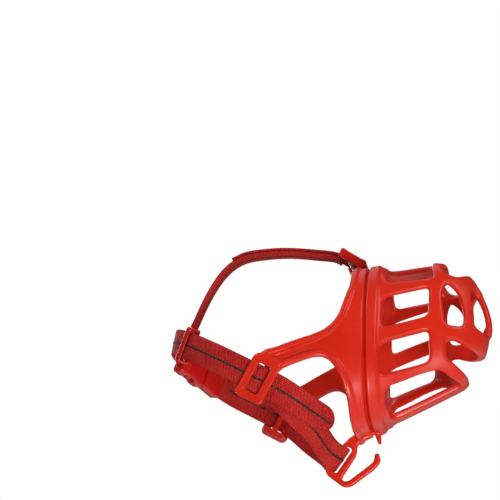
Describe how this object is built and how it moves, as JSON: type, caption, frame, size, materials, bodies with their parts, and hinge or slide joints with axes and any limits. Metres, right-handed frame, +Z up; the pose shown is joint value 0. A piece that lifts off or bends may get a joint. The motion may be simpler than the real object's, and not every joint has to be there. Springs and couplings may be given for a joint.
{
  "type": "basket muzzle",
  "caption": "Dog basket muzzle: moulded cage for the snout with side arms, an adjustable neck strap with side-release buckle, an overhead strap and a chin hook.",
  "frame": {"origin": "centre of the rear opening, where the snout goes in", "axes": "+X towards the nose, +Y to the dog's left, +Z up, as worn"},
  "size_m": [0.1977, 0.122, 0.1576],
  "materials": {
    "moulded": "satin, soft moulded rubber",
    "hardware": "gloss",
    "webbing": "woven webbing",
    "thread": "matt thread"
  },
  "bodies": {
    "basket": {"cage": "moulded", "rim_collar": "moulded", "arm_right": "moulded", "arm_left": "moulded", "chin_hook": "moulded", "chin_strap": "webbing", "chin_thread": "thread", "neck_strap_right": "webbing", "neck_thread_right": "thread", "overhead_strap": "webbing", "overhead_thread": "thread", "overhead_front": "webbing", "buckle_socket": "hardware"},
    "neck_left": {"neck_strap_left": "webbing", "neck_thread_left": "thread"},
    "plug": {"buckle_plug": "hardware"},
    "upper_prong": {"prong_upper": "hardware"},
    "lower_prong": {"prong_lower": "hardware"},
    "tail": {"neck_strap_tail": "webbing", "tail_thread": "thread"},
    "slider": {"head_slider": "hardware"},
    "keeper": {"neck_keeper": "hardware"}
  },
  "joints": [
    {"name": "neck_left_swing", "type": "hinge", "parent": "basket", "child": "neck_left", "pos_m": [-0.06553, 0.0578, -0.00331], "axis": [-0.695, 0, -0.719], "range_deg": [0, 100]},
    {"name": "buckle_release", "type": "slide", "parent": "neck_left", "child": "plug", "axis": [0.3576, 0.8356, -0.4169], "range_m": [0, 0.016], "deforming": ["neck_strap_left", "neck_thread_left", "prong_upper", "prong_lower"]},
    {"name": "prong_upper_flex", "type": "hinge", "parent": "plug", "child": "upper_prong", "pos_m": [-0.09162, 0.03816, 0.03326], "axis": [0.7337, -0.5276, -0.4281], "range_deg": [0, 8], "stiffness_Nm_per_rad": 0.2},
    {"name": "prong_lower_flex", "type": "hinge", "parent": "plug", "child": "lower_prong", "pos_m": [-0.09954, 0.03644, 0.02179], "axis": [-0.7337, 0.5276, 0.4281], "range_deg": [0, 8], "stiffness_Nm_per_rad": 0.2},
    {"name": "tail_swing", "type": "hinge", "parent": "basket", "child": "tail", "pos_m": [-0.04873, -0.0578, -0.01955], "axis": [-0.6923, 0, -0.7216], "range_deg": [0, 75], "stiffness_Nm_per_rad": 0.002, "springref_deg": -17.19},
    {"name": "head_slider_slide", "type": "slide", "parent": "basket", "child": "slider", "axis": [-0.6678, 0, 0.7444], "range_m": [-0.002, 0.004]},
    {"name": "neck_keeper_slide", "type": "slide", "parent": "basket", "child": "keeper", "axis": [-0.4748, 0.7099, 0.5203], "range_m": [-0.003, 0.003]}
  ]
}
